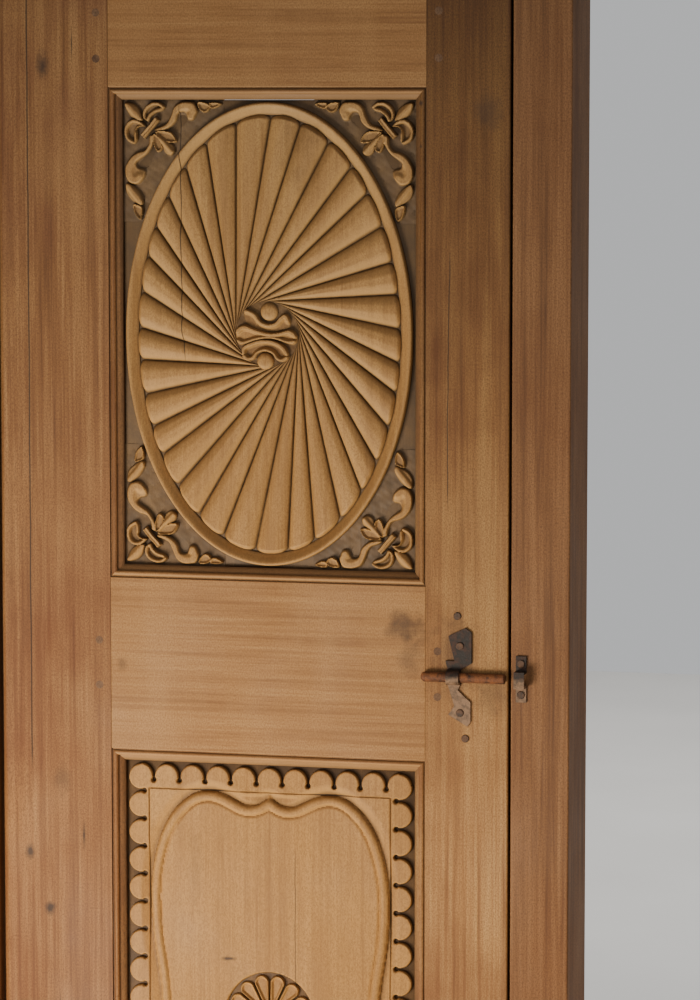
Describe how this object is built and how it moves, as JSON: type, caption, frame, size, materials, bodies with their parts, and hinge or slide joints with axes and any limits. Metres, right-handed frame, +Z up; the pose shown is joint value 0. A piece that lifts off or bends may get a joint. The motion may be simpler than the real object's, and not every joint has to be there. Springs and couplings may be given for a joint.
{
  "type": "carved panelled door leaf in a wooden frame",
  "caption": "Old hardwood door leaf with a swirled oval and a cusped panel carved in low relief, hung on wooden pivots in a plain horned frame, with a sliding iron bolt.",
  "frame": {"origin": "on the floor under the threshold, at the middle of the frame's width, in the plane of the closed leaf's carved face", "axes": "+X along the doorway from the hinge side to the bolt side, +Y from the carved face into the wall, +Z up"},
  "size_m": [0.8356, 0.1206, 1.912],
  "materials": {
    "stile_wood": "worn, oiled",
    "rail_wood": "worn, oiled",
    "panel_wood": "carved, worn",
    "frame_wood": "worn",
    "peg_wood": "worn",
    "forged_iron": "forged, dull",
    "rusty_iron": "rusty",
    "nail_iron": "rusty"
  },
  "bodies": {
    "frame": {"jamb_left": "frame_wood", "jamb_right": "frame_wood", "head": "frame_wood", "threshold": "frame_wood", "frame_pegs": "peg_wood", "bolt_keeper": "forged_iron", "keeper_nails": "nail_iron"},
    "leaf": {"hinge_stile": "stile_wood", "lock_stile": "stile_wood", "top_rail": "rail_wood", "lock_rail": "rail_wood", "bottom_rail": "rail_wood", "upper_panel": "panel_wood", "lower_panel": "panel_wood", "leaf_pegs": "peg_wood", "bolt_strap": "forged_iron", "strap_nails": "nail_iron", "old_nails": "nail_iron"},
    "bolt": {"slide_bolt": "rusty_iron"}
  },
  "joints": [
    {"name": "leaf_swing", "type": "hinge", "parent": "frame", "child": "leaf", "pos_m": [-0.28525, 0.02, 0.9495], "axis": [0, 0, -1], "range_deg": [0, 90]},
    {"name": "bolt_slide", "type": "slide", "parent": "leaf", "child": "bolt", "axis": [1, 0, 0], "range_m": [0, 0.025]}
  ]
}
